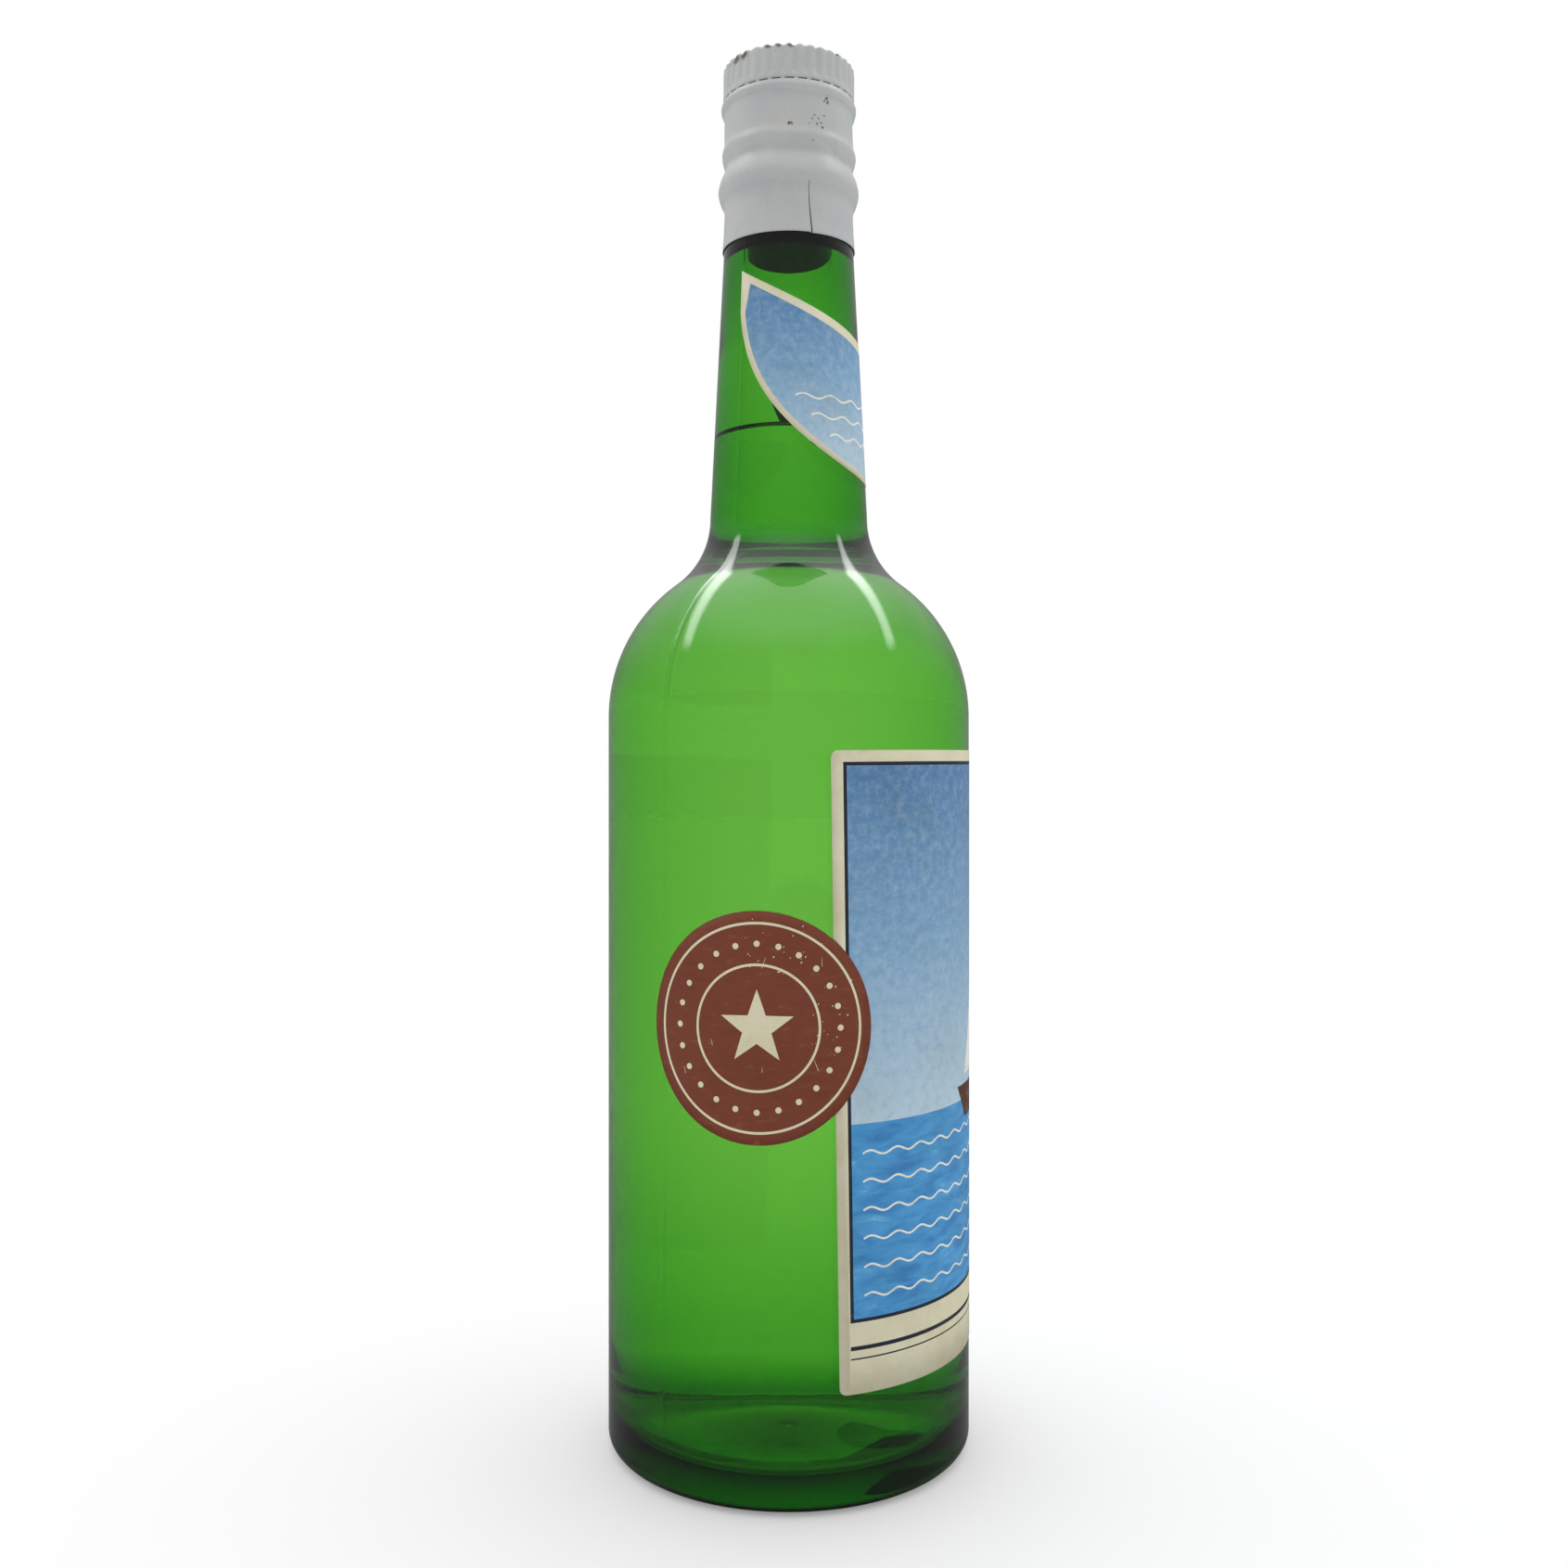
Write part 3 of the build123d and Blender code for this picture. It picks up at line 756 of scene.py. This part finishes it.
def print_label(name, art, cuts, wrap, finishes):
    """Thin closed label. art[0] is the paper, each later shape covers the earlier ones, cuts are extra
    lines that let the paper bend, and wrap puts (u, v, height above the paper's back) on the bottle."""
    points = []
    edges = []
    for shape in art:
        for loop in shape.loops:
            first = len(points)
            points += loop
            edges += [(first + i, first + (i + 1) % len(loop)) for i in range(len(loop))]
    for cut in cuts:
        first = len(points)
        points += cut
        edges += [(first + i, first + i + 1) for i in range(len(cut) - 1)]
    flat, _, triangles, *_ = delaunay_2d_cdt([Vector(p) for p in points], edges, [], 0, 1e-5, False)
    flat = np.array([tuple(p) for p in flat])
    triangles = np.array([tuple(t) for t in triangles])
    centres = flat[triangles].mean(axis=1)
    owner = np.full(len(triangles), -1)
    for index, shape in enumerate(art):
        low = np.min([np.min(loop, axis=0) for loop in shape.loops], axis=0)
        high = np.max([np.max(loop, axis=0) for loop in shape.loops], axis=0)
        near = np.flatnonzero(np.all((centres >= low) & (centres <= high), axis=1))
        owner[near[inside(shape.loops, centres[near])]] = index
    paper = inside(art[0].loops, centres)
    triangles = triangles[paper]
    owner = owner[paper]
    used = np.unique(triangles)
    renumber = {old: new for new, old in enumerate(used)}
    triangles = [tuple(renumber[i] for i in t) for t in triangles]
    flat = flat[used]
    areas = [(flat[b][0] - flat[a][0]) * (flat[c][1] - flat[a][1])
             - (flat[c][0] - flat[a][0]) * (flat[b][1] - flat[a][1])
             for a, b, c in triangles]
    triangles = [t if area > 0 else t[::-1] for t, area in zip(triangles, areas)]
    count = len(flat)
    verts = [wrap(u, v, PAPER) for u, v in flat] + [wrap(u, v, 0) for u, v in flat]
    faces = triangles + [tuple(i + count for i in t[::-1]) for t in triangles]
    directed = {(t[i], t[(i + 1) % 3]) for t in triangles for i in range(3)}
    rim = [(a, b) for a, b in directed if (b, a) not in directed]
    faces += [(a, a + count, b + count, b) for a, b in sorted(rim)]

    label = new_object(name, verts, faces)
    mesh = label.data
    for finish in finishes.values():
        mesh.materials.append(finish)
    slots = list(finishes)
    places = []
    inks = []
    for face in mesh.polygons:
        shape = art[owner[face.index]] if face.index < len(triangles) else art[0]
        face.material_index = slots.index(shape.finish)
        face.use_smooth = face.index < 2 * len(triangles)
        for vertex in face.vertices:
            places += list(flat[vertex % count] / 100)
            inks += [*shape.ink[:3], shape.mottle]
    mesh.uv_layers.new(name="print").data.foreach_set("uv", places)
    mesh.color_attributes.new("ink", "FLOAT_COLOR", "CORNER").data.foreach_set("color", inks)
    return label


def paper_finish(graph, colour, at, shine=0.42):
    """Printed paper under thin varnish: fibre, faint stains and fine scratches over the given colour."""
    fibre = graph.noise(at, 3.5, 5.0, 0.7)
    stain = graph.noise(at, 0.05, 4.0, 0.6)
    grain = graph.noise(graph.stretched(at, (0.25, 2.2, 1.0)), 1.4, 4.0, 0.65)
    aged = graph.mix(graph.math("MULTIPLY", graph.share(stain, 0.42, 0.75), 0.22), colour,
                     graph.mix(1.0, colour, srgb(214, 196, 150), "MULTIPLY"))
    aged = graph.mix(graph.math("MULTIPLY", graph.share(grain, 0.45, 0.85), 0.16), aged,
                     graph.mix(1.0, aged, srgb(196, 190, 172), "MULTIPLY"))
    flecks = graph.share(graph.noise(at, 1.7, 3.0, 0.6), 0.745, 0.77)
    aged = graph.mix(graph.math("MULTIPLY", flecks, 0.45), aged, CREAM)
    graph.bump(graph.math("ADD", fibre, graph.math("MULTIPLY", stain, 2.0)), 0.00005, 0.6)
    rough = graph.math("ADD", shine, graph.math("MULTIPLY", grain, 0.15))
    return graph.finish(aged, rough, specular_ior_level=0.3)


def bare_paper(name):
    graph = Graph(name)
    at = print_mm(graph)
    blotch = graph.noise(at, 0.09, 4.0, 0.65)
    tone = graph.ramp(blotch, [(0.3, srgb(210, 203, 168)), (0.5, CREAM), (0.7, srgb(223, 219, 195))])
    return paper_finish(graph, tone, at)


def flat_ink(name):
    """Ink whose colour and unevenness are stored with the printed shapes."""
    graph = Graph(name)
    at = print_mm(graph)
    attribute = graph.nodes.new("ShaderNodeAttribute")
    attribute.attribute_name = "ink"
    ink = attribute.outputs["Color"]
    mottle = attribute.outputs["Alpha"]
    strokes = graph.noise(graph.stretched(at, (0.5, 1.4, 1.0)), 0.55, 4.0, 0.65, 0.6)
    dark = graph.mix(1.0, ink, srgb(120, 96, 84), "MULTIPLY")
    light = graph.mix(0.5, ink, srgb(250, 226, 150))
    tone = graph.mix(graph.math("MULTIPLY", graph.share(strokes, 0.5, 0.32), mottle), ink, dark)
    tone = graph.mix(graph.math("MULTIPLY", graph.share(strokes, 0.56, 0.74), mottle), tone, light)
    return paper_finish(graph, tone, at)


def plain_sky(name, low, high):
    """Plain printed sky between two heights: pale below, blue above, with the faint mottle of the ink."""
    graph = Graph(name)
    at = print_mm(graph)
    height = split(graph, at)[1]
    daub = graph.noise(at, 0.5, 5.0, 0.7)
    tone = graph.ramp(height, [(low, srgb(178, 204, 220)), ((low + high) / 2, srgb(122, 166, 202)),
                               (high, srgb(76, 126, 174))])
    tone = graph.mix(graph.math("MULTIPLY", graph.share(daub, 0.4, 0.8), 0.25), tone, srgb(226, 230, 230))
    tone = graph.mix(graph.math("MULTIPLY", graph.share(daub, 0.5, 0.25), 0.2), tone, srgb(70, 96, 150))
    return paper_finish(graph, tone, at)


def painted_sea(name):
    graph = Graph(name)
    at = print_mm(graph)
    swell = graph.noise(graph.stretched(at, (0.5, 1.6, 1.0)), 0.22, 5.0, 0.6, 0.8)
    tone = graph.ramp(swell, [
        (0.26, srgb(52, 118, 184)), (0.45, srgb(66, 144, 204)), (0.62, srgb(80, 160, 216)),
        (0.74, srgb(140, 196, 226)),
    ])
    return paper_finish(graph, tone, at)


def rectangle(left, low, right, high):
    return [(left, low), (right, low), (right, high), (left, high)]


def front_paper_outline():
    corner = 1.5
    w, h = FRONT_WIDTH, FRONT_HEIGHT
    return joined(arc((w - corner, corner), corner, -90, 0, 6),
                  arc((w - corner, h - corner), corner, 0, 90, 6),
                  arc((corner, h - corner), corner, 90, 180, 6), arc((corner, corner), corner, 180, 270, 6))


def wave_line(left, right, height):
    """Plain wavy line across a label."""
    steps = 8
    count = round((right - left) / WAVE_LENGTH) * steps
    return stroke([(left + (right - left) * i / count, height + WAVE_RISE * math.sin(math.tau * i / steps))
                   for i in range(count + 1)], WAVE_WIDTH)


def front_art():
    """A plain panel of sky and sea with a small sailing boat, and two plain rules under it."""
    left, low, right, high = 2.4, 13.75, FRONT_WIDTH - 2.4, FRONT_HEIGHT - 2.3
    horizon = 52.0
    art = [Shape([front_paper_outline()], "paper", CREAM, 0.0)]
    art.append(Shape([rectangle(left, low, right, high)], "sky", CREAM, 0.0))
    art.append(Shape([rectangle(left, low, right, horizon)], "sea", CREAM, 0.0))
    for row in range(6):
        art.append(Shape([wave_line(left + 3, right - 3, low + 5 + 5.5 * row)], "ink", WHITE, 0.3))
    border = 0.7
    art.append(Shape([rectangle(left, low, right, high),
                      rectangle(left + border, low + border, right - border, high - border)],
                     "ink", NAVY, 0.1))

    # Boat: a hull, a mast and two three-cornered sails
    middle = FRONT_WIDTH / 2
    deck = horizon + 3
    art.append(Shape([[(middle - 15, deck), (middle + 15, deck), (middle + 10, deck - 7),
                       (middle - 10, deck - 7)]],
                     "ink", BROWN, 0.5))
    art.append(Shape([rectangle(middle - 0.5, deck, middle + 0.5, deck + 31)], "ink", NAVY, 0.2))
    for side, foot, head in ((1, 13, 29), (-1, 10, 22)):
        art.append(Shape([[(middle + 1.2 * side, deck + 2), (middle + foot * side, deck + 2),
                           (middle + 1.2 * side, deck + head)]], "ink", WHITE, 0.3))

    for rule_low, rule_high in ((8.4, 9.2), (6.6, 6.9)):
        art.append(Shape([rectangle(left, rule_low, right, rule_high)], "ink", NAVY, 0.1))
    return art


def front_wrap(u, v, height):
    tilt = math.radians(FRONT_TILT)
    across = u - FRONT_WIDTH / 2
    up = v - FRONT_HEIGHT / 2
    along = across * math.cos(tilt) - up * math.sin(tilt)
    z = FRONT_LOW_Z + FRONT_HEIGHT / 2 + across * math.sin(tilt) + up * math.cos(tilt)
    angle = math.radians(FRONT_ANGLE) + along / BODY_R
    r = BODY_R + GLUE + height
    return (r * math.cos(angle), r * math.sin(angle), z)


def make_front_label():
    steps = 48
    cuts = [[(FRONT_WIDTH * i / steps, -1), (FRONT_WIDTH * i / steps, FRONT_HEIGHT + 1)]
            for i in range(1, steps)]
    finishes = {"paper": bare_paper("front_paper"), "ink": flat_ink("front_ink"),
                "sky": plain_sky("front_sky", 52.0, 122.0), "sea": painted_sea("front_sea")}
    label = print_label("front_print_label", front_art(), cuts, front_wrap, finishes)
    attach(label, "bottle")
    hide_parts("front_label")


def seal_art():
    """A plain seal: two thin rings with dots between them round a plain star, and a few scuffs."""
    art = [Shape([disc((0, 0), SEAL_R, 120)], "ink", SEAL_BROWN, 0.1)]
    for outer in (20.4, 12.4):
        art.append(Shape([disc((0, 0), outer, 120), disc((0, 0), outer - 0.5, 120)], "ink", SEAL_CREAM, 0.08))
    for a in even_angles(24):
        art.append(Shape([disc((16.2 * math.cos(a), 16.2 * math.sin(a)), 0.6, 16)], "ink", SEAL_CREAM, 0.08))
    art.append(Shape([star((0, 0), 7.5, 3.0, 5)], "ink", SEAL_CREAM, 0.08))
    for _ in range(46):
        a = random.uniform(-0.4, 2.0)
        r = random.uniform(11, 21.5)
        size = random.uniform(0.06, 0.2)
        x, y = r * math.cos(a), r * math.sin(a)
        art.append(Shape([blob([(x, y), (x + size * 2, y + size), (x + size, y - size)], 2)],
                         "ink", SEAL_CREAM, 0.3))
    for _ in range(6):
        x, y = random.uniform(-18, 18), random.uniform(-12, 12)
        art.append(Shape([stroke([(x, y), (x + random.uniform(-1, 1), y + random.uniform(1, 2.6))],
                                0.1, 0.05)],
                         "ink", SEAL_CREAM, 0.3))
    return art


def seal_wrap(s, t, height):
    """Round the bottle, and up over the left edge of the front label, where that lies underneath."""
    angle = math.radians(SEAL_ANGLE) + s / BODY_R
    tilt = math.radians(FRONT_TILT)
    up = SEAL_Z + t - FRONT_LOW_Z - FRONT_HEIGHT / 2
    edge_along = -FRONT_WIDTH / 2 * math.cos(tilt) - up * math.sin(tilt)
    edge_s = edge_along + math.radians(FRONT_ANGLE - SEAL_ANGLE) * BODY_R
    lift = (PAPER + GLUE) * ease((s - edge_s + 0.7) / 0.6)
    r = BODY_R + GLUE + height + lift
    return (r * math.cos(angle), r * math.sin(angle), SEAL_Z + t)


def make_seal_label():
    """The round paper seal, with extra cuts where it bends over the edge of the front label."""
    cuts = [[(s, -SEAL_R), (s, SEAL_R)] for s in np.arange(-21.0, 21.1, 1.75)]
    edge = math.radians(FRONT_ANGLE - SEAL_ANGLE) * BODY_R - FRONT_WIDTH / 2
    cuts += [[(edge + step - 0.42, SEAL_R), (edge + step + 0.2, -SEAL_R)] for step in (-0.75, -0.45, -0.1)]
    label = print_label("round_seal", seal_art(), cuts, seal_wrap, {"ink": flat_ink("seal_ink")})
    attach(label, "bottle")
    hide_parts("seal_label")


def boat(margin, top_margin):
    """Neck label's outline, pulled in by the margins: half an ellipse, then back over the hollow."""
    half = BOAT_HALF_WIDTH - margin
    low = BOAT_LOW_Z + margin
    hollow = BOAT_HOLLOW_Z - top_margin
    tip = BOAT_TIP_ACROSS - margin * 1.6
    lower = [(-half * math.cos(math.pi * i / 60),
              BOAT_WIDEST_Z - (BOAT_WIDEST_Z - low) * math.sin(math.pi * i / 60))
             for i in range(61)]
    rise = BOAT_TIP_Z - top_margin * 1.5 - hollow
    upper = [(tip * x, hollow + rise * abs(x) ** BOAT_HOLLOW_POWER) for x in [1 - i / 20 for i in range(41)]]
    return lower + upper


def neck_print(points):
    """From (across, z) to the print's own millimetres, counted from its lower left."""
    return [(x + NECK_PRINT_ACROSS, z - NECK_PRINT_Z) for x, z in points]


def neck_art():
    """A plain sky with a cream border and three plain wavy lines."""
    art = [Shape([neck_print(boat(0, 0))], "paper", CREAM, 0.0)]
    art.append(Shape([neck_print(boat(1.3, 2.1))], "sky", CREAM, 0.0))
    for z, half in ((213, 15), (217, 19), (221, 22)):
        art.append(Shape([neck_print(wave_line(-half, half, z))], "ink", WHITE, 0.3))
    return art


def neck_wrap(u, v, height):
    z = v + NECK_PRINT_Z
    radius = NECK_START_R + (NECK_END_R - NECK_START_R) * (z - NECK_START_Z) / (NECK_END_Z - NECK_START_Z)
    angle = math.radians(FRONT_ANGLE) + (u - NECK_PRINT_ACROSS) / radius
    r = radius + GLUE + height
    return (r * math.cos(angle), r * math.sin(angle), z)


def make_neck_label():
    cuts = [[(u, -1), (u, 46)] for u in np.arange(1.0, 66.0, 1.0)]
    finishes = {"paper": bare_paper("neck_paper"), "ink": flat_ink("neck_ink"),
                "sky": plain_sky("neck_sky", 4.0, 42.0)}
    label = print_label("neck_print_label", neck_art(), cuts, neck_wrap, finishes)
    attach(label, "bottle")
    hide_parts("neck_label")


# ---------------------------------------------------------------- stage, light and camera

CAMERA_DISTANCE = 331.0
CAMERA_HEIGHT = 140.7
CAMERA_DIRECTION = -175.0
CAMERA_LENS = 35.07
SIDE_SHIFT = -0.003
STRIP_AZIMUTH = 36.0
STRIP_HALF_WIDTH = 0.03
STRIP_LOW_EDGE = 0.55
STRIP_STRENGTH = 5.0


def make_stage():
    bpy.ops.mesh.primitive_circle_add(vertices=96, radius=6.0, fill_type="NGON")
    floor = bpy.context.object
    floor.name = "studio_floor"
    graph = Graph("pale_floor")
    kind = graph.nodes.new("ShaderNodeLightPath")
    mirrored = graph.math("MULTIPLY", kind.outputs["Is Glossy Ray"], kind.outputs["Is Reflection Ray"])
    tone = graph.mix(mirrored, (0.64, 0.64, 0.64, 1), (0.22, 0.22, 0.22, 1))
    bounced = graph.math("MAXIMUM", mirrored, kind.outputs["Is Diffuse Ray"])
    glow = graph.math("MULTIPLY", graph.math("SUBTRACT", 1.0, bounced), 0.24)
    graph.finish(tone, 0.7, specular_ior_level=0.0, emission_color=(1, 1, 1, 1), emission_strength=glow)
    floor.data.materials.append(graph.material)


def add_strip_light(nodes, links, direction, height, value, angle, side):
    """A long light high up on one side of the object, seen only as a streak where the shoulder mirrors it."""
    across = side * math.sin(math.radians(STRIP_AZIMUTH))
    along = math.cos(math.radians(STRIP_AZIMUTH))
    lean = nodes.new("ShaderNodeVectorMath")
    lean.operation = "DOT_PRODUCT"
    lean.inputs[1].default_value = (-across * math.cos(angle) - along * math.sin(angle),
                                    -across * math.sin(angle) + along * math.cos(angle), 0)
    links.new(direction.outputs["Generated"], lean.inputs[0])
    off = nodes.new("ShaderNodeMath")
    off.operation = "SUBTRACT"
    off.inputs[1].default_value = across
    links.new(lean.outputs["Value"], off.inputs[0])
    distance = nodes.new("ShaderNodeMath")
    distance.operation = "ABSOLUTE"
    links.new(off.outputs[0], distance.inputs[0])
    for source, start, end in ((distance.outputs[0], STRIP_HALF_WIDTH * 2, STRIP_HALF_WIDTH * 0.5),
                               (height.outputs[2], STRIP_LOW_EDGE, STRIP_LOW_EDGE + 0.12)):
        edge = nodes.new("ShaderNodeMapRange")
        edge.interpolation_type = "SMOOTHSTEP"
        edge.inputs["From Min"].default_value = start
        edge.inputs["From Max"].default_value = end
        edge.inputs["To Max"].default_value = STRIP_STRENGTH if source == distance.outputs[0] else 1.0
        links.new(source, edge.inputs["Value"])
        if source == distance.outputs[0]:
            glow = edge.outputs[0]
    lit = nodes.new("ShaderNodeMath")
    lit.operation = "MULTIPLY_ADD"
    links.new(glow, lit.inputs[0])
    links.new(edge.outputs[0], lit.inputs[1])
    links.new(value, lit.inputs[2])
    return lit.outputs[0]


def make_light():
    """Soft white tent, a little dimmer on the side that the photographer stands on."""
    world = bpy.data.worlds.new("studio")
    bpy.context.scene.world = world
    world.use_nodes = True
    world.cycles.sampling_method = "NONE"
    nodes = world.node_tree.nodes
    links = world.node_tree.links
    direction = nodes.new("ShaderNodeTexCoord")
    angle = math.radians(CAMERA_DIRECTION)
    toward = nodes.new("ShaderNodeVectorMath")
    toward.operation = "DOT_PRODUCT"
    toward.inputs[1].default_value = (math.cos(angle), math.sin(angle), 0)
    links.new(direction.outputs["Generated"], toward.inputs[0])
    kind = nodes.new("ShaderNodeLightPath")
    height = nodes.new("ShaderNodeSeparateXYZ")
    links.new(direction.outputs["Generated"], height.inputs[0])
    strength = 1.0
    for ray, low, high, bright, dim in (("Is Glossy Ray", -1.0, 0.7, 1.0, 0.42),
                                        ("Is Diffuse Ray", -0.2, 0.9, 1.5, 0.68)):
        fade = nodes.new("ShaderNodeMapRange")
        fade.interpolation_type = "SMOOTHSTEP"
        fade.inputs["From Min"].default_value = low
        fade.inputs["From Max"].default_value = high
        fade.inputs["To Min"].default_value = bright
        fade.inputs["To Max"].default_value = dim
        links.new(toward.outputs["Value"], fade.inputs["Value"])
        value = fade.outputs[0]
        if ray == "Is Glossy Ray":
            climb = nodes.new("ShaderNodeMapRange")
            climb.interpolation_type = "SMOOTHSTEP"
            climb.inputs["From Min"].default_value = 0.15
            climb.inputs["From Max"].default_value = 0.75
            links.new(height.outputs[2], climb.inputs["Value"])
            above = nodes.new("ShaderNodeMix")
            above.inputs[2].default_value = 0.28
            links.new(climb.outputs[0], above.inputs[0])
            links.new(value, above.inputs[3])
            value = above.outputs[0]
            overhead = nodes.new("ShaderNodeMapRange")
            overhead.interpolation_type = "SMOOTHSTEP"
            overhead.inputs["From Min"].default_value = 0.6
            overhead.inputs["From Max"].default_value = 0.95
            overhead.inputs["To Max"].default_value = 1.1
            links.new(height.outputs[2], overhead.inputs["Value"])
            brighter = nodes.new("ShaderNodeMath")
            links.new(value, brighter.inputs[0])
            links.new(overhead.outputs[0], brighter.inputs[1])
            value = brighter.outputs[0]
            for side in (-1, 1):
                value = add_strip_light(nodes, links, direction, height, value, angle, side)
        reflected = nodes.new("ShaderNodeMath")
        reflected.operation = "MULTIPLY"
        links.new(kind.outputs[ray], reflected.inputs[0])
        links.new(kind.outputs["Is Reflection Ray"], reflected.inputs[1])
        chosen = nodes.new("ShaderNodeMix")
        links.new(reflected.outputs[0], chosen.inputs[0])
        if strength == 1.0:
            chosen.inputs[2].default_value = 1.0
        else:
            links.new(strength, chosen.inputs[2])
        links.new(value, chosen.inputs[3])
        strength = chosen.outputs[0]
    background = nodes["Background"]
    background.inputs["Color"].default_value = (1, 1, 1, 1)
    links.new(strength, background.inputs["Strength"])


def make_camera():
    data = bpy.data.cameras.new("camera")
    data.lens = CAMERA_LENS
    data.sensor_width = 36.0
    data.shift_x = SIDE_SHIFT
    data.clip_start = 0.01
    camera = bpy.data.objects.new("camera", data)
    bpy.context.scene.collection.objects.link(camera)
    angle = math.radians(CAMERA_DIRECTION)
    camera.location = Vector((math.cos(angle), math.sin(angle), 0)) * CAMERA_DISTANCE * MM
    camera.location.z = CAMERA_HEIGHT * MM
    camera.rotation_euler = (math.pi / 2, 0, angle + math.pi / 2)
    bpy.context.scene.camera = camera


scene = bpy.context.scene
scene.view_settings.view_transform = "Standard"
scene.cycles.max_bounces = 32
scene.cycles.transmission_bounces = 32
scene.cycles.glossy_bounces = 12
make_camera()
make_stage()
make_light()
make_bottle()
make_rum()
make_sleeve()
make_cap()
dress_cad_nodes()
make_front_label()
make_seal_label()
make_neck_label()
